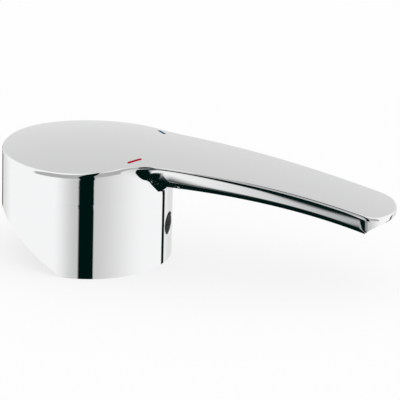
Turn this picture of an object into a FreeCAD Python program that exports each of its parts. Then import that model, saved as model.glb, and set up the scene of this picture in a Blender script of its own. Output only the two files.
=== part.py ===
"""Lever handle of a single-lever basin mixer, as a parametric FreeCAD document in millimetres.

Frame: +Z up, +X from the cap towards the tip of the lever, origin on the cap's axis in the plane of
its lower rim. Cap and lever are one casting. The set screw and the two enamel marks are pieces of
their own.
"""
import FreeCAD, Part
import Sketcher
import math
import os

# Driving dimensions: alias, value in millimetres or degrees, meaning.
SIZES = (
    ("cap_radius", 23.0, "outside radius of the round cap"),
    ("cap_wall", 2.3, "thickness of the cap's wall"),
    ("roof", 3.2, "thickness of the cap's roof beside the wall"),
    ("crown_height", 32.5, "summit of the domed top above the rim"),
    ("crown_summit", 4.5, "distance of that summit in front of the cap's axis"),
    ("crown_radius", 80.0, "curve of the top from side to side"),
    ("back_arch_radius", 120.0, "curve of the top behind its summit"),
    ("lever_arch_radius", 306.0, "curve of the top from its summit to the tip"),
    ("crown_round", 0.7, "rounding of the edge around the top"),
    ("lever_reach", 84.5, "cap's axis to the tip, at the datum height"),
    ("lever_datum", 15.0, "height at which the lever's reach and widths are given"),
    ("lever_root_width", 2.8, "lever's width at the cap's axis"),
    ("lever_tip_width", 19.6, "width to which the sides would run at the tip"),
    ("root_draft", 42.0, "outward lean of the lever's sides at the cap's axis"),
    ("tip_draft", 3.0, "outward lean of the lever's sides at the tip"),
    ("tip_radius", 15.2, "curve of the lever's end in plan"),
    ("tip_lean", 3.0, "forward lean of the lever's end"),
    ("tip_round", 5.0, "radius of the end's two corners"),
    ("hollow_reach", 84.85, "cap's axis to the middle of the hollow under the tip"),
    ("hollow_height", 20.25, "top of that hollow above the rim"),
    ("hollow_radius", 8.0, "curve of that hollow"),
    ("grip_height", 22.85, "summit of the lever's underside above the rim"),
    ("grip_summit", 27.5, "distance of that summit in front of the cap's axis"),
    ("grip_arch_radius", 238.0, "curve of the underside along the lever"),
    ("grip_round_root", 7.0, "rounding of the lever's lower edges at the cap"),
    ("grip_round_tip", 1.5, "rounding of the lever's lower edges at the tip"),
    ("root_blend_top", 16.0, "blend of lever and cap at the top edge"),
    ("root_blend_low", 2.0, "blend of lever and cap under the lever"),
    ("heel_start", 0.3, "where the rim's slanted rear part begins"),
    ("heel_angle", 32.2, "slope of the rim's rear part"),
    ("boss_radius", 8.5, "radius of the boss around the spindle socket"),
    ("boss_rise", 3.5, "boss's lower end above the rim"),
    ("spindle_square", 8.0, "side of the cartridge's square spindle"),
    ("spindle_clearance", 0.05, "gap on each side of the spindle"),
    ("socket_depth", 15.0, "depth of the spindle socket"),
    ("screw_radius", 3.0, "outside radius of the set screw's thread"),
    ("screw_clearance", 0.05, "gap between the set screw and its bore"),
    ("screw_length", 10.0, "length of the set screw"),
    ("screw_height", 10.2, "screw's axis above the rim"),
    ("screw_backoff", 0.4, "gap between screw point and spindle as supplied"),
    ("screw_point", 1.5, "radius of the screw's cup point"),
    ("screw_cup", 0.75, "depth of the hollow in the cup point"),
    ("screw_bevel", 0.5, "bevel at the screw's outer end"),
    ("hex_flats", 3.0, "hexagon socket, across flats"),
    ("hex_depth", 3.5, "depth of the hexagon socket"),
    ("screw_mouth", 0.25, "bevel at the mouth of the screw bore"),
    ("web_width", 10.0, "width of the web that carries the screw bore"),
    ("mark_radius", 20.9, "cap's axis to the middle of an index mark"),
    ("mark_azimuth", 36.4, "angle of an index mark from the lever's axis"),
    ("mark_turn", 50.0, "angle of an index mark's length to the lever's axis"),
    ("mark_length", 4.4, "length of an index mark"),
    ("mark_width", 0.9, "width of an index mark"),
    ("mark_depth", 0.65, "depth of an index mark at its middle"),
    ("margin", 5.0, "how far tool shapes reach past the casting"),
)
ON_SURFACE = 0.01
PROBES = (0.0, 0.25, 0.5, 0.75, 1.0)

# Heights of the curved faces, as expressions in plan coordinates.
CROWN_ARC = "(Sizes.crown_radius - sqrt(Sizes.crown_radius^2 - ({y})^2))"
CROWN = (
    "Sizes.crown_height - Sizes.lever_arch_radius + sqrt((Sizes.lever_arch_radius - "
    + CROWN_ARC + ")^2 - ({x} - Sizes.crown_summit)^2)"
)
GRIP = (
    "Sizes.grip_height - Sizes.grip_arch_radius"
    " + sqrt(Sizes.grip_arch_radius^2 - ({x} - Sizes.grip_summit)^2)"
)
TOOL_TOP = "(Sizes.crown_height + Sizes.margin)"


def make_sheet(doc):
    """Write the driving dimensions into the document's spreadsheet."""
    sheet = doc.addObject("Spreadsheet::Sheet", "Sizes")
    for row, (alias, value, meaning) in enumerate(SIZES, start=1):
        sheet.set("A%d" % row, meaning)
        sheet.set("B%d" % row, str(value))
        sheet.setAlias("B%d" % row, alias)
    doc.recompute()
    return sheet


def bind(obj, **expressions):
    """Bind properties of an object. A double underscore in a name stands for a dot."""
    for name, expression in expressions.items():
        obj.setExpression(name.replace("__", "."), expression)
    return obj


def sketch_on(body, name, role, height=None):
    """Start a sketch on one of the body's own origin planes, raised along the plane's normal."""
    plane = next(p for p in body.Origin.OriginFeatures if p.Role == role)
    sketch = body.newObject("Sketcher::SketchObject", name)
    sketch.AttachmentSupport = (plane, [""])
    sketch.MapMode = "FlatFace"
    if height is not None:
        bind(sketch, AttachmentOffset__Base__z=height)
    return sketch


def dimension(sketch, kind, where, expression):
    """Add a constraint whose value follows an expression."""
    value = float(sketch.evalExpression(expression))
    index = sketch.addConstraint(Sketcher.Constraint(kind, *where, value))
    sketch.setExpression("Constraints[%d]" % index, expression)


def arc_between(start, end, radius):
    """Arc that turns left from start to end and is less than half a circle."""
    chord = end - start
    rise = math.sqrt(radius**2 - (chord.Length / 2)**2)
    left = FreeCAD.Vector(-chord.y, chord.x, 0).normalize()
    centre = start + chord * 0.5 + left * rise
    first, last = (math.atan2(p.y - centre.y, p.x - centre.x) for p in (start, end))
    return Part.ArcOfCircle(Part.Circle(centre, FreeCAD.Vector(0, 0, 1), radius), first, last)


def outline(sketch, corners, left_arcs=None, right_arcs=None):
    """Draw a closed outline through corners given as expressions.

    An edge is straight unless its number is in left_arcs or right_arcs, which give the radius of an
    arc that turns left or right on the way from its corner to the next one.
    """
    left_arcs = left_arcs or {}
    right_arcs = right_arcs or {}
    points = [FreeCAD.Vector(*(float(sketch.evalExpression(e)) for e in corner)) for corner in corners]
    ends = []
    for number, start in enumerate(points):
        end = points[(number + 1) % len(points)]
        if number in left_arcs or number in right_arcs:
            radius = left_arcs.get(number) or right_arcs.get(number)
            turn = (start, end) if number in left_arcs else (end, start)
            edge = sketch.addGeometry(arc_between(*turn, float(sketch.evalExpression(radius))))
            ends.append((edge, 1, 2) if number in left_arcs else (edge, 2, 1))
            dimension(sketch, "Radius", (edge,), radius)
        else:
            edge = sketch.addGeometry(Part.LineSegment(start, end))
            ends.append((edge, 1, 2))
    for number, corner in enumerate(corners):
        edge, here, _ = ends[number]
        before, _, there = ends[number - 1]
        sketch.addConstraint(Sketcher.Constraint("Coincident", before, there, edge, here))
        for kind, axis, expression in (("DistanceX", -2, corner[0]), ("DistanceY", -1, corner[1])):
            if expression == "0":
                sketch.addConstraint(Sketcher.Constraint("PointOnObject", edge, here, axis))
            else:
                dimension(sketch, kind, (edge, here), expression)


def combine(doc, kind, label, shapes):
    """Boolean of two or more objects: Part::MultiFuse, Part::MultiCommon or Part::Cut."""
    result = doc.addObject(kind, label)
    result.Label = label
    if kind == "Part::Cut":
        result.Base, result.Tool = shapes
    else:
        result.Shapes = shapes
    result.Refine = True
    doc.recompute()
    return result


def probe(edge):
    """Points spread along an edge."""
    first, last = edge.ParameterRange
    return [edge.valueAt(first + share * (last - first)) for share in PROBES]


def round_edges(doc, label, base, chosen, low, high=None, grows=None):
    """Fillet the edges whose points pass a test.

    With a high radius, the fillet grows from low to high on the way up each edge. With a second test
    as well, the edges are one smooth chain whose two ends pass that test: the fillet grows up both
    ends and keeps to low between them. The ends come first, and the chain runs the way of the first.
    """
    fillet = doc.addObject("Part::Fillet", label)
    fillet.Label = label
    fillet.Base = base
    growing, even = [], []
    for number, edge in enumerate(base.Shape.Edges, start=1):
        points = probe(edge)
        if not chosen(points):
            continue
        if high is None or (grows and not grows(points)):
            even.append((number, low, low))
        elif grows and growing:
            growing.append((number, growing[0][2], growing[0][1]))
        elif points[0].z < points[-1].z:
            growing.append((number, low, high))
        else:
            growing.append((number, high, low))
    fillet.Edges = growing + even
    doc.recompute()
    return fillet


def crown_gap(sheet, point):
    """Height of a point above the domed top."""
    arch = sheet.lever_arch_radius if point.x > sheet.crown_summit else sheet.back_arch_radius
    side = min(abs(point.y), sheet.crown_radius)
    across = sheet.crown_radius - math.sqrt(sheet.crown_radius**2 - side**2)
    along = math.sqrt((arch - across)**2 - (point.x - sheet.crown_summit)**2)
    return point.z - (sheet.crown_height - arch + along)


def grip_gap(sheet, point):
    """Height of a point above the lever's underside."""
    along = math.sqrt(sheet.grip_arch_radius**2 - (point.x - sheet.grip_summit)**2)
    return point.z - (sheet.grip_height - sheet.grip_arch_radius + along)


def make_crown(doc):
    """Everything under the domed top: one arc swung forward over the lever and back over the cap."""
    body = doc.addObject("PartDesign::Body", "Crown")
    sketch = sketch_on(body, "CrownArc", "YZ_Plane", "Sizes.crown_summit")
    side = "Sizes.cap_radius + Sizes.margin"
    shoulder = "Sizes.crown_height - " + CROWN_ARC.format(y=side)
    outline(
        sketch,
        [("-(" + side + ")", "-Sizes.margin"), (side, "-Sizes.margin"),
         (side, shoulder), ("-(" + side + ")", shoulder)],
        left_arcs={2: "Sizes.crown_radius"},
    )
    ahead = "Sizes.lever_reach + 2 * Sizes.margin - Sizes.crown_summit"
    behind = "Sizes.cap_radius + Sizes.margin + Sizes.crown_summit"
    swings = (
        ("Forward", "Sizes.lever_arch_radius", ahead, 1),
        ("Backward", "Sizes.back_arch_radius", behind, -1),
    )
    for number, (name, radius, reach, way) in enumerate(swings):
        height = "Sizes.crown_height - " + radius
        level = float(sketch.evalExpression(height))
        ends = (FreeCAD.Vector(-way, level, 0), FreeCAD.Vector(way, level, 0))
        axis = sketch.addGeometry(Part.LineSegment(*ends), True)
        sketch.addConstraint(Sketcher.Constraint("Symmetric", axis, 1, axis, 2, -2))
        dimension(sketch, "DistanceY", (axis, 1), height)
        dimension(sketch, "DistanceX", (axis, 1, axis, 2), str(2 * way))
        doc.recompute()
        swing = body.newObject("PartDesign::Revolution", name)
        swing.Profile = sketch
        swing.ReferenceAxis = (sketch, ["Axis%d" % number])
        swing.setExpression(
            "Angle", "asin((%s) / (%s - Sizes.crown_height - Sizes.margin))" % (reach, radius)
        )
        doc.recompute()
    return body


def draw_lever_outline(sketch, rise):
    """Draw the lever's outline in plan at a rise above the datum: two sides and an end of three arcs."""
    root = "(Sizes.lever_root_width / 2 + %s * tan(Sizes.root_draft))" % rise
    tip = "(Sizes.lever_tip_width / 2 + %s * tan(Sizes.tip_draft))" % rise
    reach = "(Sizes.lever_reach + %s * tan(Sizes.tip_lean))" % rise
    slope = "atan((%s - %s) / %s)" % (tip, root, reach)
    half, angle, end_radius, corner_radius, far = (
        float(sketch.evalExpression(e))
        for e in (root, slope, "Sizes.tip_radius", "Sizes.tip_round", reach)
    )
    turn = math.radians(angle)
    middle = FreeCAD.Vector(far - end_radius, 0, 0)
    along = FreeCAD.Vector(math.cos(turn), math.sin(turn), 0)
    inward = FreeCAD.Vector(-along.y, along.x, 0)
    offset = FreeCAD.Vector(0, half, 0) - inward * corner_radius - middle
    ahead = -offset.dot(along)
    inside = (end_radius - corner_radius)**2 - offset.Length**2 + ahead**2
    corner = middle + offset + along * (ahead + math.sqrt(inside))
    leave = corner + inward * corner_radius
    lean = math.atan2(corner.y, corner.x - middle.x)
    normal = FreeCAD.Vector(0, 0, 1)
    near = FreeCAD.Vector(corner.x, -corner.y, 0)
    low = sketch.addGeometry(
        Part.LineSegment(FreeCAD.Vector(0, -half, 0), FreeCAD.Vector(leave.x, -leave.y, 0))
    )
    first = sketch.addGeometry(
        Part.ArcOfCircle(Part.Circle(near, normal, corner_radius), -math.pi / 2 - turn, -lean)
    )
    front = sketch.addGeometry(
        Part.ArcOfCircle(Part.Circle(middle, normal, end_radius), -lean, lean)
    )
    second = sketch.addGeometry(
        Part.ArcOfCircle(Part.Circle(corner, normal, corner_radius), lean, math.pi / 2 + turn)
    )
    high = sketch.addGeometry(Part.LineSegment(leave, FreeCAD.Vector(0, half, 0)))
    back = sketch.addGeometry(
        Part.LineSegment(FreeCAD.Vector(0, half, 0), FreeCAD.Vector(0, -half, 0))
    )
    for before, after in ((low, first), (first, front), (front, second), (second, high)):
        sketch.addConstraint(Sketcher.Constraint("Tangent", before, 2, after, 1))
    sketch.addConstraint(Sketcher.Constraint("Coincident", high, 2, back, 1))
    sketch.addConstraint(Sketcher.Constraint("Coincident", back, 2, low, 1))
    sketch.addConstraint(Sketcher.Constraint("PointOnObject", low, 1, -2))
    sketch.addConstraint(Sketcher.Constraint("Symmetric", high, 2, low, 1, -1))
    sketch.addConstraint(Sketcher.Constraint("PointOnObject", front, 3, -1))
    sketch.addConstraint(Sketcher.Constraint("Equal", first, second))
    dimension(sketch, "DistanceY", (low, 1), "-" + root)
    dimension(sketch, "Radius", (front,), "Sizes.tip_radius")
    dimension(sketch, "DistanceX", (front, 3), reach + " - Sizes.tip_radius")
    dimension(sketch, "Radius", (first,), "Sizes.tip_round")
    tilt = sketch.addConstraint(Sketcher.Constraint("Angle", low, -turn))
    sketch.setExpression("Constraints[%d]" % tilt, "-" + slope)


def make_lever(doc):
    """Lever above its arched underside and the hollow under its tip, not yet cut to the domed top."""
    blank = doc.addObject("PartDesign::Body", "LeverBlank")
    sections = []
    for name, height in (("LowOutline", "Sizes.lever_datum"), ("HighOutline", TOOL_TOP)):
        sketch = sketch_on(blank, name, "XY_Plane", height)
        draw_lever_outline(sketch, "(%s - Sizes.lever_datum)" % height)
        sections.append(sketch)
    doc.recompute()
    loft = blank.newObject("PartDesign::AdditiveLoft", "LeverLoft")
    loft.Profile = sections[0]
    loft.Sections = sections[1:]
    loft.Ruled = True
    doc.recompute()

    side = doc.addObject("PartDesign::Body", "LeverSide")
    sketch = sketch_on(side, "SideOutline", "XZ_Plane")
    beyond = "Sizes.lever_reach + 2 * Sizes.margin"
    outline(
        sketch,
        [("0", GRIP.format(x="0")), (beyond, GRIP.format(x="(" + beyond + ")")),
         (beyond, TOOL_TOP), ("0", TOOL_TOP)],
        right_arcs={0: "Sizes.grip_arch_radius"},
    )
    pad = side.newObject("PartDesign::Pad", "SidePad")
    pad.Profile = sketch
    pad.SideType = "Symmetric"
    bind(pad, Length="2 * (Sizes.cap_radius + Sizes.margin)")
    doc.recompute()
    solid = combine(doc, "Part::MultiCommon", "LeverSolid", [blank, side])
    hollow = doc.addObject("Part::Cylinder", "TipHollow")
    hollow.Placement.Rotation = FreeCAD.Rotation(FreeCAD.Vector(1, 0, 0), 90)
    bind(hollow, Radius="Sizes.hollow_radius", Height="2 * (Sizes.cap_radius + Sizes.margin)",
         Placement__Base__x="Sizes.hollow_reach", Placement__Base__y="Sizes.cap_radius + Sizes.margin",
         Placement__Base__z="Sizes.hollow_height - Sizes.hollow_radius")
    return combine(doc, "Part::Cut", "LeverForm", [solid, hollow])


def make_casting_outside(doc, sheet, crown, lever):
    """Round cap and lever in one under the domed top, with every outer edge rounded."""
    cylinder = bind(
        doc.addObject("Part::Cylinder", "CapCylinder"), Radius="Sizes.cap_radius", Height=TOOL_TOP
    )
    joined = combine(doc, "Part::MultiFuse", "CapAndLever", [cylinder, lever])
    sharp = combine(doc, "Part::MultiCommon", "SharpCasting", [joined, crown])

    def on_wall(point):
        """True for a point of the cap's round wall."""
        return abs(math.hypot(point.x, point.y) - sheet.cap_radius) < ON_SURFACE

    def on_top(point):
        """True for a point of the domed top."""
        return abs(crown_gap(sheet, point)) < ON_SURFACE

    def at_underside(points):
        """True for the lower edges that run along the lever's sides."""
        lower = all(abs(grip_gap(sheet, p)) < ON_SURFACE for p in points)
        return lower and on_wall(points[0]) != on_wall(points[-1])

    def at_root(points):
        """True for the edges where the lever grows out of the cap's wall."""
        outward = all(on_wall(p) and p.x > 0 and grip_gap(sheet, p) > -ON_SURFACE for p in points)
        return outward and not on_top(points[len(points) // 2])

    def reaches_top(points):
        """True for an edge with an end at the domed top."""
        return on_top(points[0]) or on_top(points[-1])

    def around_top(points):
        """True for the edges around the domed top, but not for the seam at its summit."""
        above = all(on_top(p) for p in points)
        return above and any(abs(p.x - sheet.crown_summit) > ON_SURFACE for p in points)

    grip = round_edges(
        doc, "GripRound", sharp, at_underside, sheet.grip_round_tip, sheet.grip_round_root
    )
    root = round_edges(
        doc, "RootBlend", grip, at_root, sheet.root_blend_low, sheet.root_blend_top, reaches_top
    )
    return round_edges(doc, "CrownRound", root, around_top, sheet.crown_round)


def make_cavity(doc):
    """Hollow inside the cap: a turned space around the boss, less the web that carries the screw."""
    body = doc.addObject("PartDesign::Body", "CavityTurned")
    sketch = sketch_on(body, "CavityOutline", "XZ_Plane")
    wall = "Sizes.cap_radius - Sizes.cap_wall"
    ceiling = "Sizes.crown_height - Sizes.roof - " + CROWN_ARC.format(y=wall)
    outline(
        sketch,
        [("0", "-Sizes.margin"), (wall, "-Sizes.margin"), (wall, ceiling),
         ("Sizes.boss_radius", ceiling), ("Sizes.boss_radius", "Sizes.boss_rise"),
         ("0", "Sizes.boss_rise")],
    )
    turned = body.newObject("PartDesign::Revolution", "CavityRevolution")
    turned.Profile = sketch
    turned.ReferenceAxis = (sketch, ["V_Axis"])
    turned.Angle = 360
    web = bind(
        doc.addObject("Part::Box", "ScrewWeb"),
        Length="Sizes.cap_radius", Width="Sizes.web_width", Height="Sizes.crown_height",
        Placement__Base__y="-Sizes.web_width / 2",
        Placement__Base__z="Sizes.screw_height - Sizes.web_width / 2",
    )
    return combine(doc, "Part::Cut", "Cavity", [body, web])


def make_cuts(doc):
    """Spindle socket, screw bore with its bevelled mouth, and the slant at the back of the rim."""
    square = "(Sizes.spindle_square + 2 * Sizes.spindle_clearance)"
    socket = bind(
        doc.addObject("Part::Box", "SpindleSocket"),
        Length=square, Width=square, Height="Sizes.socket_depth + Sizes.boss_rise",
        Placement__Base__x="-%s / 2" % square, Placement__Base__y="-%s / 2" % square,
    )
    forward = FreeCAD.Rotation(FreeCAD.Vector(0, 1, 0), 90)
    bore_radius = "Sizes.screw_radius + Sizes.screw_clearance"
    bore = doc.addObject("Part::Cylinder", "ScrewBore")
    bore.Placement.Rotation = forward
    bind(bore, Radius=bore_radius, Height="Sizes.cap_radius + Sizes.margin",
         Placement__Base__z="Sizes.screw_height")
    mouth = doc.addObject("Part::Cone", "ScrewMouth")
    mouth.Placement.Rotation = forward
    bind(mouth, Radius1=bore_radius, Radius2=bore_radius + " + Sizes.screw_mouth + Sizes.margin",
         Height="Sizes.screw_mouth + Sizes.margin",
         Placement__Base__x="Sizes.cap_radius - Sizes.screw_mouth",
         Placement__Base__z="Sizes.screw_height")
    heel = doc.addObject("Part::Box", "HeelSlant")
    heel.Placement.Rotation = FreeCAD.Rotation(FreeCAD.Vector(0, 1, 0), 1)
    bind(heel, Length="3 * Sizes.cap_radius", Width="3 * Sizes.cap_radius", Height="Sizes.cap_radius",
         Placement__Rotation__Angle="Sizes.heel_angle",
         Placement__Base__x="Sizes.heel_start - 3 * Sizes.cap_radius * cos(Sizes.heel_angle)"
         " - Sizes.cap_radius * sin(Sizes.heel_angle)",
         Placement__Base__y="-1.5 * Sizes.cap_radius",
         Placement__Base__z="3 * Sizes.cap_radius * sin(Sizes.heel_angle)"
         " - Sizes.cap_radius * cos(Sizes.heel_angle)")
    return [socket, bore, mouth, heel]


def make_mark_slot(doc, name, side):
    """Slot of an index mark, from its floor to above the top. Side is -1 or 1 along Y."""
    body = doc.addObject("PartDesign::Body", name)
    sketch = sketch_on(body, name + "Outline", "XY_Plane")
    half = "(Sizes.mark_length - Sizes.mark_width) / 2"
    run = float(sketch.evalExpression(half))
    radius = float(sketch.evalExpression("Sizes.mark_width / 2"))
    normal = FreeCAD.Vector(0, 0, 1)
    right, left = (Part.Circle(FreeCAD.Vector(x, 0, 0), normal, radius) for x in (run, -run))
    corner = FreeCAD.Vector(run, radius)
    across = FreeCAD.Vector(-run, radius)
    lower = sketch.addGeometry(Part.LineSegment(-corner, -across))
    front = sketch.addGeometry(Part.ArcOfCircle(right, -math.pi / 2, math.pi / 2))
    upper = sketch.addGeometry(Part.LineSegment(corner, across))
    back = sketch.addGeometry(Part.ArcOfCircle(left, math.pi / 2, 3 * math.pi / 2))
    chain = (lower, front, upper, back)
    for number, edge in enumerate(chain):
        sketch.addConstraint(Sketcher.Constraint("Tangent", chain[number - 1], 2, edge, 1))
    sketch.addConstraint(Sketcher.Constraint("Equal", front, back))
    sketch.addConstraint(Sketcher.Constraint("PointOnObject", front, 3, -1))
    sketch.addConstraint(Sketcher.Constraint("PointOnObject", back, 3, -1))
    dimension(sketch, "Radius", (front,), "Sizes.mark_width / 2")
    dimension(sketch, "DistanceX", (front, 3), half)
    dimension(sketch, "DistanceX", (back, 3), "-" + half)
    pad = body.newObject("PartDesign::Pad", name + "Pad")
    pad.Profile = sketch
    bind(pad, Length="Sizes.margin")
    body.Placement.Rotation = FreeCAD.Rotation(normal, 1)
    ahead = "Sizes.mark_radius * cos(Sizes.mark_azimuth)"
    aside = "Sizes.mark_radius * sin(Sizes.mark_azimuth)"
    bind(body, Placement__Base__x=ahead, Placement__Base__y="%d * %s" % (side, aside),
         Placement__Base__z=CROWN.format(x=ahead, y=aside) + " - Sizes.mark_depth",
         Placement__Rotation__Angle="%d * Sizes.mark_turn" % -side)
    doc.recompute()
    return body


def make_set_screw(doc):
    """Grub screw with cup point and hexagon socket, turned about its own Z and laid along +X."""
    body = doc.addObject("PartDesign::Body", "SetScrew")
    body.Label = "set_screw"
    sketch = sketch_on(body, "ScrewOutline", "XZ_Plane")
    outline(
        sketch,
        [("0", "Sizes.screw_cup"), ("Sizes.screw_point", "0"),
         ("Sizes.screw_radius", "Sizes.screw_radius - Sizes.screw_point"),
         ("Sizes.screw_radius", "Sizes.screw_length - Sizes.screw_bevel"),
         ("Sizes.screw_radius - Sizes.screw_bevel", "Sizes.screw_length"), ("0", "Sizes.screw_length")],
    )
    turned = body.newObject("PartDesign::Revolution", "ScrewRevolution")
    turned.Profile = sketch
    turned.ReferenceAxis = (sketch, ["V_Axis"])
    turned.Angle = 360
    doc.recompute()
    solid_volume = turned.Shape.Volume
    hexagon = sketch_on(body, "HexOutline", "XY_Plane", "Sizes.screw_length")
    corners = [
        ("Sizes.hex_flats / sqrt(3) * cos(%d)" % angle, "Sizes.hex_flats / sqrt(3) * sin(%d)" % angle)
        for angle in range(30, 390, 60)
    ]
    for number in (1, 4):
        corners[number] = ("0", corners[number][1])
    outline(hexagon, corners)
    pocket = body.newObject("PartDesign::Pocket", "HexSocket")
    pocket.Profile = hexagon
    bind(pocket, Length="Sizes.hex_depth")
    body.Placement.Rotation = FreeCAD.Rotation(FreeCAD.Vector(0, 1, 0), 90)
    bind(body,
         Placement__Base__x="Sizes.spindle_square / 2 + Sizes.spindle_clearance + Sizes.screw_backoff",
         Placement__Base__z="Sizes.screw_height")
    doc.recompute()
    if body.Shape.Volume >= solid_volume:
        raise RuntimeError("the hexagon socket removes nothing")
    return body


def check(doc, parts):
    """Stop if any object failed or any sub-part isn't one valid solid."""
    for obj in doc.Objects:
        if any(word in obj.State for word in ("Invalid", "Error")):
            raise RuntimeError("%s is %s" % (obj.Label, obj.State))
    for part in parts:
        shape = part.Shape
        if shape.isNull() or not shape.isValid() or len(shape.Solids) != 1:
            raise RuntimeError("%s has no single valid solid" % part.Label)


def main():
    """Build the document, check it and write one STEP file for each sub-part."""
    doc = FreeCAD.newDocument("TapHandle")
    sheet = make_sheet(doc)
    crown = make_crown(doc)
    lever = make_lever(doc)
    outside = make_casting_outside(doc, sheet, crown, lever)
    slots = {name: make_mark_slot(doc, name.title().replace("_", "") + "Slot", side)
             for name, side in (("hot_mark", -1), ("cold_mark", 1))}
    cuts = [make_cavity(doc)] + make_cuts(doc) + list(slots.values())
    hollow = combine(doc, "Part::MultiFuse", "CastingCuts", cuts)
    parts = [combine(doc, "Part::Cut", "handle_body", [outside, hollow]), make_set_screw(doc)]
    parts += [combine(doc, "Part::MultiCommon", name, [slot, crown]) for name, slot in slots.items()]
    doc.recompute()
    check(doc, parts)
    os.makedirs("parts", exist_ok=True)
    for part in parts:
        part.Shape.exportStep("parts/%s.step" % part.Label)
        print("%-12s %8.1f mm3" % (part.Label, part.Shape.Volume))


main()
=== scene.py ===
"""Lever handle of a basin mixer, dressed for a studio picture.

The casting is modelled anew with a fine even mesh, because polished chrome shows every facet. It keeps
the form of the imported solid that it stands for. Lengths are in metres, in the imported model's frame: +X
along the lever, +Z up, origin on the cap's axis in the plane of its rim.
"""
import math

import bmesh
import bpy
from bpy.props import FloatProperty, FloatVectorProperty, PointerProperty
from mathutils import Matrix, Vector


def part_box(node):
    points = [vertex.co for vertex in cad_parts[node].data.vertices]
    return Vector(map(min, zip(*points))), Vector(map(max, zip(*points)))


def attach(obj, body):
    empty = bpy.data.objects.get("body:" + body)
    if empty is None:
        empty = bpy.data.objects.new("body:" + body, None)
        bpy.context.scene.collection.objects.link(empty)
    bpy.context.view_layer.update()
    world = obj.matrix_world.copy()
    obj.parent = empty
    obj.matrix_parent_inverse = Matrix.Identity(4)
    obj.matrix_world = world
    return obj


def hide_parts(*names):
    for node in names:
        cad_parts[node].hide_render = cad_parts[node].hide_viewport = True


bl_info = {
    "name": "Tap handle",
    "version": (1, 0, 0),
    "blender": (4, 5, 0),
    "location": "View3D > Sidebar > Tap handle",
    "description": "Builds a chrome lever handle of a basin mixer and its studio",
    "category": "Object",
}

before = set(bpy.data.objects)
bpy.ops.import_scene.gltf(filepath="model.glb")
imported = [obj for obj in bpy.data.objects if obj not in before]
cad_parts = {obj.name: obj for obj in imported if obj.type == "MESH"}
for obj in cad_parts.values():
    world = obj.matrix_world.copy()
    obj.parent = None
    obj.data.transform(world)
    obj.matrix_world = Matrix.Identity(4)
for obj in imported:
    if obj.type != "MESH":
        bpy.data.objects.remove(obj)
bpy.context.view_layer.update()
BODY_LOW, BODY_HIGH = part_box("handle_body")
SCREW_LOW, SCREW_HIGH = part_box("set_screw")
IMAGE_WIDTH = 400
SENSOR_WIDTH = 36.0
MERGE_DISTANCE = 2e-6
LIP_SEARCH = 2e-5
SMOOTH_ANGLE = math.radians(32)

# How far the cutters reach past the casting.
OVERSHOOT = 0.005

# Rounds of the small searches for the casting's edges, and the range in cap radii of one of them.
BLEND_ROUNDS = 30
EDGE_ROUNDS = 12
BALL_ROUNDS = 40
BALL_RANGE = (0.3, 2.0)

# Mesh of the casting: columns along each stretch of its outline, rows of each patch, and the height of the
# row beside the top edge, which has to be taller than the edge's rounding.
STRETCHES = (("cap", 64), ("blend", 20), ("side", 60), ("corner", 10), ("end", 12))
WALL_ROWS = 9
ROUND_ROWS = 12
UNDER_ROWS = 16
TOP_ROWS = 18
FOOT_ROWS = 14
FIRST_ROW = 0.0013

# Middle line of the lever's end, in half widths of the tip: its start behind the tip and its run.
SPINE_START = 1.6
SPINE_RUN = 0.9


def length(name, description, default):
    """Property for one length in metres."""
    return FloatProperty(
        name=name, description=description, default=default, unit="LENGTH", subtype="DISTANCE", precision=5
    )


def angle(name, description, degrees):
    """Property for one angle, with its default in degrees."""
    return FloatProperty(
        name=name, description=description, default=math.radians(degrees), unit="ROTATION", subtype="ANGLE"
    )


def colour(name, description, default):
    """Property for one colour."""
    return FloatVectorProperty(
        name=name, description=description, default=default, subtype="COLOR", size=3, min=0.0, max=1.0
    )


def number(name, description, default):
    """Property for one plain number."""
    return FloatProperty(name=name, description=description, default=default, precision=4)


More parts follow.
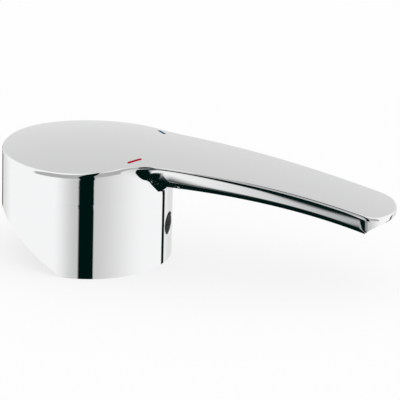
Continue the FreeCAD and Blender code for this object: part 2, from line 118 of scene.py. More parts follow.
class HandleSizes(bpy.types.PropertyGroup):
    """Sizes of the casting."""

    cap_radius: length("Cap radius", "Outside radius of the round cap", -BODY_LOW.x)
    cap_wall: length("Cap wall", "Thickness of the cap's wall", 0.0023)
    ceiling: length("Ceiling", "Ceiling inside the cap above the rim", 0.02658)
    crown_height: length("Crown height", "Summit of the domed top above the rim", BODY_HIGH.z)
    crown_summit: length("Crown summit", "Distance of that summit in front of the cap's axis", 0.0045)
    crown_radius: length("Crown radius", "Curve of the top from side to side", 0.080)
    back_arch: length("Back arch", "Curve of the top behind its summit", 0.120)
    lever_arch: length("Lever arch", "Curve of the top from its summit to the tip", 0.306)
    crown_round: length("Crown round", "Rounding of the edge around the top", 0.0007)
    lever_reach: length("Lever reach", "Cap's axis to the tip at the datum height", 0.0845)
    lever_datum: length("Lever datum", "Height at which the lever's reach and widths are given", 0.015)
    root_half: length("Root half width", "Half of the lever's width at the cap's axis", 0.0014)
    tip_half: length("Tip half width", "Half of the width to which the sides would run at the tip", 0.0098)
    root_draft: angle("Root draft", "Outward lean of the lever's sides at the cap's axis", 42.0)
    tip_draft: angle("Tip draft", "Outward lean of the lever's sides at the tip", 3.0)
    tip_lean: angle("Tip lean", "Forward lean of the lever's end", 3.0)
    tip_radius: length("Tip radius", "Curve of the lever's end in plan", 0.0152)
    tip_round: length("Tip round", "Radius of the end's two corners", 0.005)
    hollow_reach: length("Hollow reach", "Cap's axis to the middle of the hollow under the tip", 0.08485)
    hollow_height: length("Hollow height", "Top of that hollow above the rim", 0.02025)
    hollow_radius: length("Hollow radius", "Curve of that hollow", 0.008)
    lip_round: length("Lip round", "Rounding of that hollow's edges", 0.00025)
    grip_height: length("Grip height", "Summit of the lever's underside above the rim", 0.02285)
    grip_summit: length("Grip summit", "Distance of that summit in front of the cap's axis", 0.0275)
    grip_arch: length("Grip arch", "Curve of the underside along the lever", 0.238)
    grip_round_root: length("Grip round at the cap", "Rounding of the lever's lower edges there", 0.007)
    grip_round_tip: length("Grip round at the tip", "Rounding of the lever's lower edges there", 0.0015)
    root_top: length("Root blend at the top", "Blend of lever and cap at the top edge", 0.022)
    root_low: length("Root blend below", "Blend of lever and cap under the lever", 0.002)
    heel_start: length("Heel start", "Where the rim's slanted rear part begins", 0.0003)
    heel_angle: angle("Heel angle", "Slope of the rim's rear part", 32.2)
    boss_radius: length("Boss radius", "Radius of the boss around the spindle socket", 0.0085)
    boss_rise: length("Boss rise", "Boss's lower end above the rim", 0.0035)
    socket_half: length("Socket half width", "Half of the square spindle socket's side", 0.00405)
    socket_top: length("Socket top", "Inner end of the spindle socket above the rim", 0.0185)
    screw_bore: length("Screw bore", "Radius of the set screw's bore", 0.00305)
    screw_mouth: length("Screw mouth", "Bevel at the mouth of the screw bore", 0.00025)
    screw_height: length("Screw height", "Screw's axis above the rim", (SCREW_LOW.z + SCREW_HIGH.z) / 2)
    web_half: length("Web half width", "Half of the width of the web around the screw bore", 0.005)
    mark_radius: length("Mark radius", "Cap's axis to the middle of an index mark", 0.0209)
    mark_azimuth: angle("Mark azimuth", "Angle of an index mark from the lever's axis", 36.4)
    mark_turn: angle("Mark turn", "Angle of an index mark's length to the lever's axis", 50.0)
    mark_length: length("Mark length", "Length of an index mark", 0.0044)
    mark_width: length("Mark width", "Width of an index mark", 0.0009)
    mark_depth: length("Mark depth", "Depth of an index mark at its middle", 0.00065)


class HandleFinish(bpy.types.PropertyGroup):
    """Colours and gloss of the handle."""

    chrome: colour("Chrome", "Reflected colour of the chrome plate", (0.90, 0.905, 0.91))
    chrome_roughness: number("Chrome roughness", "Blur of reflections in the plate", 0.03)
    casting: colour("Casting", "Unpolished zinc inside the cap", (0.42, 0.42, 0.43))
    steel: colour("Steel", "Set screw", (0.36, 0.36, 0.37))
    hot: colour("Hot mark", "Red enamel", (0.38, 0.006, 0.016))
    cold: colour("Cold mark", "Blue enamel", (0.002, 0.08, 0.17))


class HandleStudio(bpy.types.PropertyGroup):
    """Camera and light."""

    lever_turn: angle("Lever turn", "How far the lever points towards the camera", 15.59)
    elevation: angle("Elevation", "Camera's height angle", 20.1)
    roll: angle("Roll", "Turn of the picture", 1.59)
    distance: length("Distance", "Camera to the middle of the cap", 0.8718)
    target_height: length("Target height", "Middle of the cap above the rim", 0.015)
    pixels_per_metre: number("Pixels per metre", "Scale of the picture at the cap", 3708.0)
    target_x: number("Target X", "Cap's middle right of the picture's centre, in pixels", -112.54)
    target_y: number("Target Y", "Cap's middle below the picture's centre, in pixels", -3.84)
    wall_light: number("Wall light", "Light panels around the table", 1.0)
    front_light: number("Front light", "Front of the tent above the table's level", 0.45)
    near_light: number("Near light", "Panels beside the slit", 0.60)
    back_low: number("Low backdrop", "Foot of the backdrop that the top reflects", 0.78)
    back_high: number("High backdrop", "Upper part of that backdrop", 0.68)
    slit_dark: colour("Slit", "Gap between the panels that the camera looks through", (0.0, 0.008, 0.0065))


class HandleForm:
    """Outside of the casting as formulas of height and place."""

    def __init__(self, sizes):
        self.s = sizes
        self.blend_low = sizes.grip_height
        self.blend_high = sizes.crown_height
        for _ in range(BLEND_ROUNDS):
            self.blend_low = self.low_start(self.plan(self.blend_low, "side", 0.0)[0].x)
            self.blend_high = self.top_point("side", 0.0).z

    def crown(self, x, y):
        """Height of the domed top."""
        s = self.s
        arch = s.lever_arch if x > s.crown_summit else s.back_arch
        across = s.crown_radius - math.sqrt(s.crown_radius**2 - y**2)
        return s.crown_height - arch + math.sqrt((arch - across)**2 - (x - s.crown_summit)**2)

    def grip(self, x):
        """Height of the lever's underside."""
        s = self.s
        return s.grip_height - s.grip_arch + math.sqrt(s.grip_arch**2 - (x - s.grip_summit)**2)

    def lean(self, x):
        """Outward lean of the lever's side at a distance along it."""
        s = self.s
        share = x / s.lever_reach
        return math.atan((1.0 - share) * math.tan(s.root_draft) + share * math.tan(s.tip_draft))

    def low_round(self, x):
        """Radius of the lever's lower rounding at a distance along it."""
        s = self.s
        share = (x - s.cap_radius) / (s.lever_reach - s.tip_round - s.cap_radius)
        return s.grip_round_root + (s.grip_round_tip - s.grip_round_root) * min(max(share, 0.0), 1.0)

    def low_start(self, x):
        """Height at which the lever's side begins to round into its underside."""
        return self.grip(x) + self.low_round(x) * (1.0 - math.sin(self.lean(x)))

    def blend_radius(self, z):
        """Radius of the root blend at a height."""
        s = self.s
        share = (z - self.blend_low) / (self.blend_high - self.blend_low)
        return s.root_low + (s.root_top - s.root_low) * min(max(share, 0.0), 1.0)

    def side_line(self, z):
        """Start and slope of the lever's side in the plan at a height, and the lever's reach there."""
        s = self.s
        rise = z - s.lever_datum
        root = s.root_half + rise * math.tan(s.root_draft)
        tip = s.tip_half + rise * math.tan(s.tip_draft)
        reach = s.lever_reach + rise * math.tan(s.tip_lean)
        return root, (tip - root) / reach, reach

    def plan(self, z, stretch, share):
        """Point of the outline at a height, and the way into the metal there.

        The outline runs along stretches: cap, blend, side, corner and end. A share from 0 to 1 gives the
        place on the stretch.
        """
        s = self.s
        start, slope, far = self.side_line(z)
        norm = math.hypot(1.0, slope)
        out = Vector((-slope, 1.0)) / norm
        if stretch in ("cap", "blend", "side"):
            radius = self.blend_radius(z)
            reach = s.cap_radius + radius
            shift = start + radius * norm
            x = (-shift * slope + math.sqrt((norm * reach)**2 - shift**2)) / norm**2
            centre = Vector((x, shift + slope * x))
            turn = math.atan2(centre.y, centre.x)
            if stretch == "cap":
                place = math.pi + (turn - math.pi) * share
                ray = Vector((math.cos(place), math.sin(place)))
                return ray * s.cap_radius, -ray
            if stretch == "blend":
                ray = slerp(-centre.normalized(), -out, share)
                return centre + ray * radius, ray
        small = s.tip_round
        end_x = far - s.tip_radius
        drop = start - small * norm
        a, b = norm**2, drop * slope - end_x
        c = end_x**2 + drop**2 - (s.tip_radius - small)**2
        x = (-b + math.sqrt(b * b - a * c)) / a
        inner = Vector((x, drop + slope * x))
        middle = Vector((end_x, 0.0))
        away = (inner - middle).normalized()
        if stretch == "side":
            first = centre - out * radius
            return first.lerp(inner + out * small, share), -out
        if stretch == "corner":
            ray = slerp(out, away, share)
            return inner + ray * small, -ray
        ray = slerp(away, Vector((1.0, 0.0)), share)
        return middle + ray * s.tip_radius, -ray

    def top_point(self, stretch, share):
        """Point of the sharp edge between wall and domed top."""
        z = self.s.crown_height
        for _ in range(EDGE_ROUNDS):
            point, _ = self.plan(z, stretch, share)
            z = self.crown(point.x, point.y)
        return Vector((point.x, point.y, z))

    def low_height(self, stretch, share):
        """Height at which a place of the wall begins to round into the underside."""
        z = self.blend_low
        if stretch in ("cap", "blend"):
            return z
        for _ in range(EDGE_ROUNDS):
            point, _ = self.plan(z, stretch, share)
            z = self.low_start(point.x)
        return z

    def wall_point(self, stretch, share, depth):
        """Point of the wall between the top edge, depth 0, and the start of the lower rounding, depth 1."""
        top = self.top_point(stretch, share)
        z = top.z + (self.low_height(stretch, share) - top.z) * depth
        point, _ = self.plan(z, stretch, share)
        return Vector((point.x, point.y, z))

    def lever_line(self, x, bend, inset):
        """Point of the lower rounding or underside at a distance along the lever, and its way out.

        Bend runs from 0 where the side begins to round to 1 on the underside. Inset runs from 0 at the
        rounding to 1 on the lever's middle line.
        """
        lean, radius = self.lean(x), self.low_round(x)
        turn = lean + (math.pi / 2 - lean) * bend
        z = self.grip(x) + radius
        start, slope, _ = self.side_line(z)
        out = Vector((-slope, 1.0)).normalized()
        y = (start + slope * x - radius / math.cos(lean)) * (1.0 - inset)
        point = Vector((x, y + radius * math.cos(turn), z - radius * math.sin(turn)))
        return point, Vector((out.x * math.cos(turn), out.y * math.cos(turn), -math.sin(turn)))

    def root_ball(self, bend, inset):
        """Centre of the ball between the cap's wall and the lever's lower part, and its way out."""
        s = self.s
        near, far = (share * s.cap_radius for share in BALL_RANGE)
        for _ in range(BALL_ROUNDS):
            x = (near + far) / 2
            point, out = self.lever_line(x, bend, inset)
            centre = point + out * s.root_low
            if math.hypot(centre.x, centre.y) < s.cap_radius + s.root_low:
                near = x
            else:
                far = x
        return centre, out

    def spine(self, stretch, share):
        """Place on the middle line towards which the rows run from a place of the outline."""
        s = self.s
        tip = s.lever_reach - SPINE_START * s.tip_half
        if stretch == "cap":
            return 0.0
        if stretch == "blend":
            return s.cap_radius * share
        if stretch == "side":
            return s.cap_radius + (tip - s.cap_radius) * share
        return tip + SPINE_RUN * s.tip_half * stretch_order(stretch, share)

    def low_point(self, stretch, share, bend, inset):
        """Point of the lever's lower rounding and underside, or of the wall at the same row."""
        s = self.s
        if stretch in ("cap", "blend", "side"):
            centre, out = self.root_ball(bend, inset)
            to_wall = Vector((-centre.x, -centre.y, 0.0)).normalized()
            if stretch == "cap":
                place = math.atan2(centre.y, centre.x)
                place = math.pi + (place - math.pi) * share
                return Vector((s.cap_radius * math.cos(place), s.cap_radius * math.sin(place), centre.z))
            if stretch == "blend":
                return centre + slerp(to_wall, -out, share) * s.root_low
            near = (centre - out * s.root_low).x
            far = self.low_point("corner", 0.0, bend, inset).x
            return self.lever_line(near + (far - near) * share, bend, inset)[0]
        z = self.low_height(stretch, share)
        point, into = self.plan(z, stretch, share)
        lean, radius = self.lean(point.x), self.low_round(point.x)
        turn = lean + (math.pi / 2 - lean) * bend
        edge = point + into * radius * (math.cos(lean) - math.cos(turn))
        place = edge.lerp(Vector((self.spine(stretch, share), 0.0)), inset)
        return Vector((place.x, place.y, self.grip(place.x) + radius * (1.0 - math.sin(turn))))

    def rounding_point(self, stretch, share, bend):
        """Point of the lower rounding, eased so that it starts exactly where the wall ends."""
        point = self.low_point(stretch, share, bend, 0.0)
        wall = self.wall_point(stretch, share, 1.0)
        return point + (wall - self.low_point(stretch, share, 0.0, 0.0)) * (1.0 - bend)**2


def stretch_order(stretch, share):
    """Place on the lever's end from 0, at the start of its corner, to 1, on the middle line."""
    return (share + (stretch == "end")) / 2


def slerp(start, end, share):
    """Unit vector turned from start towards end."""
    swing = start.angle(end)
    if swing < 1e-6:
        return end.copy()
    return (start * math.sin((1 - share) * swing) + end * math.sin(share * swing)) / math.sin(swing)


def places(names):
    """Every place along the named stretches, in order, without doubling their ends."""
    found = []
    for stretch, count in STRETCHES:
        if stretch in names:
            first = 1 if found else 0
            found += [(stretch, step / count) for step in range(first, count + 1)]
    return found


def row_place(row, rows, first):
    """Place from 0 to 1 of a row when the first row of faces takes a given share."""
    return first + (1.0 - first) * (row - 1) / (rows - 1) if row else 0.0


def patch(bm, columns, rows, shape):
    """Grid of faces whose corners a function places by column and row number."""
    made = bmesh.ops.create_grid(bm, x_segments=columns, y_segments=rows, size=1.0)["verts"]
    for vert in made:
        column = round((vert.co.x + 1.0) / 2.0 * columns)
        row = round((vert.co.y + 1.0) / 2.0 * rows)
        vert.co = shape(column, row)
    return made


def casting_outside(sizes):
    """Bmesh of the casting's outside as a closed skin with a flat foot."""
    form = HandleForm(sizes)
    bm = bmesh.new()
    all_places = places(("cap", "blend", "side", "corner", "end"))
    cap_places = places(("cap",))
    lever_places = places(("blend", "side", "corner", "end"))
    edges = [form.top_point(*place) for place in all_places]

    def wall(column, row):
        first = FIRST_ROW / (edges[column].z - form.low_height(*all_places[column]))
        return form.wall_point(*all_places[column], row_place(row, WALL_ROWS, first))

    def rounding(column, row):
        return form.rounding_point(*all_places[column], row / ROUND_ROWS)

    def underside(column, row):
        return form.low_point(*lever_places[column], 1.0, row / UNDER_ROWS)

    def top(column, row):
        edge = edges[column]
        ray = Vector((form.spine(*all_places[column]) - edge.x, -edge.y))
        step = row_place(row, TOP_ROWS, FIRST_ROW / ray.length)
        x, y = edge.x + ray.x * step, edge.y + ray.y * step
        return Vector((x, y, edge.z if row == 0 else form.crown(x, y)))

    def foot(column, row):
        if column < len(cap_places):
            start = form.low_point(*cap_places[column], 1.0, 0.0)
        else:
            inset = (column - len(cap_places) + 1) / UNDER_ROWS
            start = form.low_point("blend", 0.0, 1.0, inset)
        return Vector((start.x, start.y, start.z * (1.0 - row / FOOT_ROWS)))

    sharp = bm.verts.layers.int.new("top_edge")
    beside_top = patch(bm, len(all_places) - 1, WALL_ROWS, wall)
    patch(bm, len(all_places) - 1, ROUND_ROWS, rounding)
    patch(bm, len(lever_places) - 1, UNDER_ROWS, underside)
    beside_top += patch(bm, len(all_places) - 1, TOP_ROWS, top)
    patch(bm, len(cap_places) - 1 + UNDER_ROWS, FOOT_ROWS, foot)
    for vert in beside_top:
        if any((vert.co - edge).length < MERGE_DISTANCE for edge in edges):
            vert[sharp] = 1
    for vert in bm.verts:
        if abs(vert.co.y) < MERGE_DISTANCE:
            vert.co.y = 0.0
    bmesh.ops.remove_doubles(bm, verts=bm.verts[:], dist=MERGE_DISTANCE)
    bmesh.ops.mirror(bm, geom=bm.verts[:] + bm.edges[:] + bm.faces[:], axis="Y", merge_dist=MERGE_DISTANCE)
    bmesh.ops.remove_doubles(bm, verts=bm.verts[:], dist=MERGE_DISTANCE)
    open_edges = [edge for edge in bm.edges if edge.is_boundary]
    bmesh.ops.edgeloop_fill(bm, edges=open_edges)
    bmesh.ops.recalc_face_normals(bm, faces=bm.faces[:])
    loop = [edge for edge in bm.edges if all(vert[sharp] for vert in edge.verts)]
    bmesh.ops.bevel(
        bm, geom=loop, offset=sizes.crown_round, offset_type="OFFSET", segments=4, profile=0.5,
        affect="EDGES", clamp_overlap=False, material=-1,
    )
    return bm


def spun(profile, steps, axis):
    """Bmesh of a solid turned from a profile in the XZ plane about the X or Z axis."""
    bm = bmesh.new()
    verts = [bm.verts.new((x, 0.0, z)) for x, z in profile]
    edges = [bm.edges.new(pair) for pair in zip(verts, verts[1:] + verts[:1])]
    bmesh.ops.spin(
        bm, geom=verts + edges, axis=axis, cent=(0, 0, 0), angle=2 * math.pi, steps=steps, use_merge=True
    )
    bmesh.ops.remove_doubles(bm, verts=bm.verts[:], dist=MERGE_DISTANCE)
    loose = [edge for edge in bm.edges if not edge.link_faces]
    bmesh.ops.delete(bm, geom=loose, context="EDGES")
    bmesh.ops.recalc_face_normals(bm, faces=bm.faces[:])
    return bm


def block(low, high):
    """Bmesh of a box between two corners."""
    bm = bmesh.new()
    low, high = Vector(low), Vector(high)
    size = high - low
    bmesh.ops.create_cube(bm, size=1.0)
    bmesh.ops.scale(bm, vec=size, verts=bm.verts[:])
    bmesh.ops.translate(bm, vec=(low + high) / 2, verts=bm.verts[:])
    return bm


def rod(radius, span):
    """Bmesh of a cylinder along the Y axis."""
    bm = bmesh.new()
    bmesh.ops.create_cone(bm, cap_ends=True, segments=256, radius1=radius, radius2=radius, depth=span)
    bmesh.ops.rotate(bm, matrix=Matrix.Rotation(math.pi / 2, 3, "X"), verts=bm.verts[:])
    return bm


def mark_slot(sizes, side):
    """Bmesh of the slot that holds an index mark. Side is -1 or 1 along Y."""
    bm = bmesh.new()
    half = (sizes.mark_length - sizes.mark_width) / 2
    tall = 5 * sizes.mark_depth
    bmesh.ops.create_circle(bm, cap_ends=True, segments=24, radius=sizes.mark_width / 2)
    for vert in bm.verts:
        vert.co.x += math.copysign(half, vert.co.x) if abs(vert.co.x) > MERGE_DISTANCE else 0.0
    made = bmesh.ops.extrude_face_region(bm, geom=bm.faces[:])["geom"]
    raised = [item for item in made if isinstance(item, bmesh.types.BMVert)]
    bmesh.ops.translate(bm, vec=(0, 0, tall), verts=raised)
    x = sizes.mark_radius * math.cos(sizes.mark_azimuth)
    y = sizes.mark_radius * math.sin(sizes.mark_azimuth)
    floor = HandleForm(sizes).crown(x, y) - sizes.mark_depth
    bmesh.ops.rotate(bm, matrix=Matrix.Rotation(-side * sizes.mark_turn, 3, "Z"), verts=bm.verts[:])
    bmesh.ops.translate(bm, vec=(x, side * y, floor), verts=bm.verts[:])
    bmesh.ops.recalc_face_normals(bm, faces=bm.faces[:])
    return bm


def new_piece(name, bm):
    """Object made from a bmesh, linked to the scene."""
    mesh = bpy.data.meshes.new(name)
    bm.to_mesh(mesh)
    bm.free()
    piece = bpy.data.objects.new(name, mesh)
    bpy.context.collection.objects.link(piece)
    return piece


def cut(piece, tool):
    """Take a tool's space out of a piece and delete the tool."""
    modifier = piece.modifiers.new("cut", "BOOLEAN")
    modifier.operation = "DIFFERENCE"
    modifier.solver = "EXACT"
    modifier.object = tool
    bpy.context.view_layer.update()
    graph = bpy.context.evaluated_depsgraph_get()
    mesh = bpy.data.meshes.new_from_object(piece.evaluated_get(graph))
    piece.modifiers.clear()
    old = piece.data
    piece.data = mesh
    bpy.data.meshes.remove(old)
    bpy.data.meshes.remove(tool.data)
    if not piece.data.polygons:
        raise RuntimeError("a cut left nothing of " + piece.name)


def round_lip(piece, axis, radius, offset):
    """Round the sharp edges that a cylinder along Y has left in a piece."""
    bm = bmesh.new()
    bm.from_mesh(piece.data)
    lip = []
    for edge in bm.edges:
        reach = [math.hypot(vert.co.x - axis.x, vert.co.z - axis.z) for vert in edge.verts]
        on_lip = all(abs(value - radius) < LIP_SEARCH for value in reach)
        if on_lip and edge.is_manifold and edge.calc_face_angle() > SMOOTH_ANGLE:
            lip.append(edge)
    if not lip:
        raise RuntimeError("no lip found on " + piece.name)
    bmesh.ops.bevel(
        bm, geom=lip, offset=offset, offset_type="OFFSET", segments=3, profile=0.5,
        affect="EDGES", clamp_overlap=True, material=-1,
    )
    bm.to_mesh(piece.data)
    bm.free()


def shade(piece):
    """Smooth shading with sharp edges where faces turn away."""
    piece.data.polygons.foreach_set("use_smooth", [True] * len(piece.data.polygons))
    piece.data.set_sharp_from_angle(angle=SMOOTH_ANGLE)


def new_material(name):
    """Empty material with a Principled shader, and its node tree and shader."""
    material = bpy.data.materials.new(name)
    material.use_nodes = True
    shader = material.node_tree.nodes["Principled BSDF"]
    return material, material.node_tree, shader


def noise(tree, scale, detail):
    """Noise texture in Object coordinates."""
    place = tree.nodes.new("ShaderNodeTexCoord")
    texture = tree.nodes.new("ShaderNodeTexNoise")
    texture.inputs["Scale"].default_value = scale
    texture.inputs["Detail"].default_value = detail
    tree.links.new(place.outputs["Object"], texture.inputs["Vector"])
    return texture


def spread(tree, source, low, high):
    """Map the middle range of a noise onto another range."""
    mapped = tree.nodes.new("ShaderNodeMapRange")
    mapped.inputs["From Min"].default_value = 0.3
    mapped.inputs["From Max"].default_value = 0.7
    mapped.inputs["To Min"].default_value = low
    mapped.inputs["To Max"].default_value = high
    tree.links.new(source, mapped.inputs["Value"])
    return mapped.outputs["Result"]


def chrome_material(finish):
    """Polished chrome plate with faint wiping haze."""
    material, tree, shader = new_material("chrome_plate")
    shader.inputs["Base Color"].default_value = (*finish.chrome, 1.0)
    shader.inputs["Metallic"].default_value = 1.0
    clear, hazy = 0.6 * finish.chrome_roughness, 1.4 * finish.chrome_roughness
    haze = noise(tree, scale=180.0, detail=4.0)
    tree.links.new(spread(tree, haze.outputs["Fac"], clear, hazy), shader.inputs["Roughness"])
    return material


def casting_material(finish):
    """Unpolished zinc with the grain of a die-cast skin."""
    material, tree, shader = new_material("cast_zinc")
    shader.inputs["Base Color"].default_value = (*finish.casting, 1.0)
    shader.inputs["Metallic"].default_value = 0.9
    grain = noise(tree, scale=1400.0, detail=6.0)
    tree.links.new(spread(tree, grain.outputs["Fac"], low=0.42, high=0.62), shader.inputs["Roughness"])
    bump = tree.nodes.new("ShaderNodeBump")
    bump.inputs["Strength"].default_value = 0.25
    bump.inputs["Distance"].default_value = 0.0001
    tree.links.new(grain.outputs["Fac"], bump.inputs["Height"])
    tree.links.new(bump.outputs["Normal"], shader.inputs["Normal"])
    return material


def enamel_material(name, paint):
    """Enamel without a highlight, slightly uneven in colour."""
    material, tree, shader = new_material(name)
    shader.inputs["Specular IOR Level"].default_value = 0.0
    uneven = noise(tree, scale=900.0, detail=3.0)
    mix = tree.nodes.new("ShaderNodeMix")
    mix.data_type = "RGBA"
    for socket, strength in (("A", 0.88), ("B", 1.1)):
        mix.inputs[socket].default_value = (*(min(1.0, strength * part) for part in paint), 1.0)
    tree.links.new(uneven.outputs["Fac"], mix.inputs["Factor"])
    tree.links.new(mix.outputs["Result"], shader.inputs["Base Color"])
    tree.links.new(spread(tree, uneven.outputs["Fac"], low=0.22, high=0.36), shader.inputs["Roughness"])
    return material


def steel_material(finish):
    """Stainless steel with a fine uneven polish."""
    material, tree, shader = new_material("screw_steel")
    shader.inputs["Base Color"].default_value = (*finish.steel, 1.0)
    shader.inputs["Metallic"].default_value = 1.0
    polish = noise(tree, scale=2200.0, detail=2.0)
    tree.links.new(spread(tree, polish.outputs["Fac"], low=0.22, high=0.4), shader.inputs["Roughness"])
    return material


def cut_tip(casting, s):
    """Cut the finger hollow under the lever's tip and round its edges."""
    axis = Vector((s.hollow_reach, 0, s.hollow_height - s.hollow_radius))
    tip = rod(s.hollow_radius, 2 * s.cap_radius)
    bmesh.ops.translate(tip, vec=axis, verts=tip.verts[:])
    cut(casting, new_piece("tip_hollow", tip))
    round_lip(casting, axis, s.hollow_radius, s.lip_round)


def cut_inside(casting, s):
    """Hollow out the cap around its boss and the screw's web, and cut the spindle socket."""
    wall = s.cap_radius - s.cap_wall
    hollow = new_piece("hollow", spun(
        [(0, -OVERSHOOT), (wall, -OVERSHOOT), (wall, s.ceiling), (s.boss_radius, s.ceiling),
         (s.boss_radius, s.boss_rise), (0, s.boss_rise)], 128, (0, 0, 1),
    ))
    cut(hollow, new_piece("web", block(
        (0, -s.web_half, s.screw_height - s.web_half), (s.cap_radius, s.web_half, s.crown_height)
    )))
    cut(casting, hollow)
    cut(casting, new_piece("socket", block(
        (-s.socket_half, -s.socket_half, -OVERSHOOT), (s.socket_half, s.socket_half, s.socket_top)
    )))


def cut_bore(casting, s):
    """Cut the set screw's bore with the bevel at its mouth."""
    outside = s.cap_radius + OVERSHOOT
    bore = spun(
        [(0, 0), (outside, 0), (outside, s.screw_bore + s.screw_mouth + OVERSHOOT),
         (s.cap_radius - s.screw_mouth, s.screw_bore), (0, s.screw_bore)], 64, (1, 0, 0),
    )
    bmesh.ops.translate(bore, vec=(0, 0, s.screw_height), verts=bore.verts[:])
    cut(casting, new_piece("bore", bore))


def cut_heel(casting, s):
    """Cut the slanted rear part of the rim."""
    wide = 3 * s.cap_radius
    heel = block((-wide, -wide, -s.cap_radius), (wide, wide, 0))
    bmesh.ops.rotate(heel, matrix=Matrix.Rotation(s.heel_angle, 3, "Y"), verts=heel.verts[:])
    bmesh.ops.translate(heel, vec=(s.heel_start, 0, 0), verts=heel.verts[:])
    cut(casting, new_piece("heel", heel))


def plate_casting(casting, s, finish):
    """Chrome on the outside and bare zinc on the faces inside the cap."""
    wall = s.cap_radius - s.cap_wall
    casting.data.materials.clear()
    casting.data.materials.append(chrome_material(finish))
    casting.data.materials.append(casting_material(finish))
    for face in casting.data.polygons:
        spot = face.center
        within = math.hypot(spot.x, spot.y) < wall + MERGE_DISTANCE and spot.z < s.ceiling + MERGE_DISTANCE
        face.material_index = 1 if within else 0


class TAPHANDLE_OT_casting(bpy.types.Operator):
    """Build the chrome casting in place of its solid"""

    bl_idname = "taphandle.casting"
    bl_label = "Casting"

    def execute(self, context):
        s = context.scene.handle_sizes
        finish = context.scene.handle_finish
        casting = new_piece("casting", casting_outside(s))
        cut_tip(casting, s)
        cut_inside(casting, s)
        cut_bore(casting, s)
        cut_heel(casting, s)
        for side in (-1, 1):
            cut(casting, new_piece("slot", mark_slot(s, side)))
        plate_casting(casting, s, finish)
        shade(casting)
        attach(casting, "root")
        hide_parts("handle_body")
        return {"FINISHED"}


class TAPHANDLE_OT_marks(bpy.types.Operator):
    """Finish the two enamel index marks"""

    bl_idname = "taphandle.marks"
    bl_label = "Index marks"

    def execute(self, context):
        finish = context.scene.handle_finish
        marks = (("hot_mark", "red_enamel", finish.hot), ("cold_mark", "blue_enamel", finish.cold))
        for node, name, paint in marks:
            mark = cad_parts[node]
            mark.data.materials.clear()
            mark.data.materials.append(enamel_material(name, paint))
        return {"FINISHED"}


class TAPHANDLE_OT_set_screw(bpy.types.Operator):
    """Finish the set screw"""

    bl_idname = "taphandle.set_screw"
    bl_label = "Set screw"

    def execute(self, context):
        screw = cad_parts["set_screw"]
        screw.data.materials.clear()
        screw.data.materials.append(steel_material(context.scene.handle_finish))
        return {"FINISHED"}


def camera_axes(studio):
    """Right, down and forward of the camera in the handle's frame."""
    turn = studio.lever_turn
    right = Vector((math.cos(turn), math.sin(turn), 0.0))
    level = Vector((-math.sin(turn), math.cos(turn), 0.0))
    forward = level * math.cos(studio.elevation) - Vector((0, 0, math.sin(studio.elevation)))
    down = forward.cross(right)
    roll = studio.roll
    return (
        right * math.cos(roll) - down * math.sin(roll),
        right * math.sin(roll) + down * math.cos(roll),
        forward,
    )


def add_camera(studio):
    """Camera at the picture's viewing angle."""
    right, down, forward = camera_axes(studio)
    target = Vector((0.0, 0.0, studio.target_height))
    aside = right * studio.target_x + down * studio.target_y
    place = target - aside / studio.pixels_per_metre - forward * studio.distance
    data = bpy.data.cameras.new("camera")
    data.sensor_width = SENSOR_WIDTH
    data.lens = studio.pixels_per_metre * studio.distance / IMAGE_WIDTH * SENSOR_WIDTH
    data.clip_end = 10.0
    camera = bpy.data.objects.new("camera", data)
    bpy.context.collection.objects.link(camera)
    camera.matrix_world = Matrix.Translation(place) @ Matrix((right, -down, -forward)).transposed().to_4x4()
    bpy.context.scene.camera = camera


class Light:
    """Small builder for the nodes of the light and the table."""

    def __init__(self, tree):
        self.tree = tree

    def math(self, operation, *values):
        """Math node of one, two or three values."""
        node = self.tree.nodes.new("ShaderNodeMath")
        node.operation = operation
        self.feed(node.inputs, values)
        return node.outputs["Value"]

    def feed(self, sockets, values):
        """Link outputs and set plain numbers."""
        for socket, value in zip(sockets, values):
            if isinstance(value, bpy.types.NodeSocket):
                self.tree.links.new(value, socket)
            else:
                socket.default_value = value

    def dot(self, vector, axis):
        """Part of a direction along an axis."""
        node = self.tree.nodes.new("ShaderNodeVectorMath")
        node.operation = "DOT_PRODUCT"
        self.feed(node.inputs, (vector, axis))
        return node.outputs["Value"]

    def step(self, value, start, end):
        """Smooth step from 0 at start to 1 at end."""
        node = self.tree.nodes.new("ShaderNodeMapRange")
        node.interpolation_type = "SMOOTHSTEP"
        flip = end < start
        low, high = min(start, end), max(start, end)
        self.feed(
            [node.inputs[key] for key in ("Value", "From Min", "From Max", "To Min", "To Max")],
            (value, low, high, float(flip), float(not flip)),
        )
        return node.outputs["Result"]

    def turn(self, value, edge):
        """Smooth step between two angles in degrees."""
        return self.step(value, *(math.radians(degrees) for degrees in edge))

    def every(self, first, *others):
        """Product of several values."""
        for value in others:
            first = self.math("MULTIPLY", first, value)
        return first

    def most(self, first, *others):
        """Largest of several values."""
        for value in others:
            first = self.math("MAXIMUM", first, value)
        return first

    def line(self, first, second, slope):
        """First value plus a slope times the second."""
        return self.math("ADD", first, self.math("MULTIPLY", second, slope))

    def mix(self, factor, first, second):
        """Mix of two colours."""
        node = self.tree.nodes.new("ShaderNodeMix")
        node.data_type = "RGBA"
        self.feed([node.inputs[key] for key in ("Factor", "A", "B")], (factor, first, second))
        return node.outputs["Result"]


def grey(value):
    """Neutral colour."""
    return (value, value, value, 1.0)


# Light tent. Bearings are degrees to the right of the camera's side, heights are degrees above the level.
# Each pair is the start and the end of a soft edge.
RIGHT_PANEL = (-5, 90)
LEFT_PANEL = (-10, -45)
PANEL_JOIN = (-2, 2)
BACKDROP_HEIGHT = (-15, 60)
BACKDROP_BEARING = (120, 150)
FRONT_FOOT = (-17, -14)
FRONT_TOP = (54, 48)
FRONT_BEARING = (76, 68)
SLIT_LEFT = (-11, -8)
SLIT_RIGHT = (11.5, 10)
FOOT_GAPS = ((123, 131), (-168, -158))
GAP_EDGE = 1
GAP_TOP = (-5, -12)

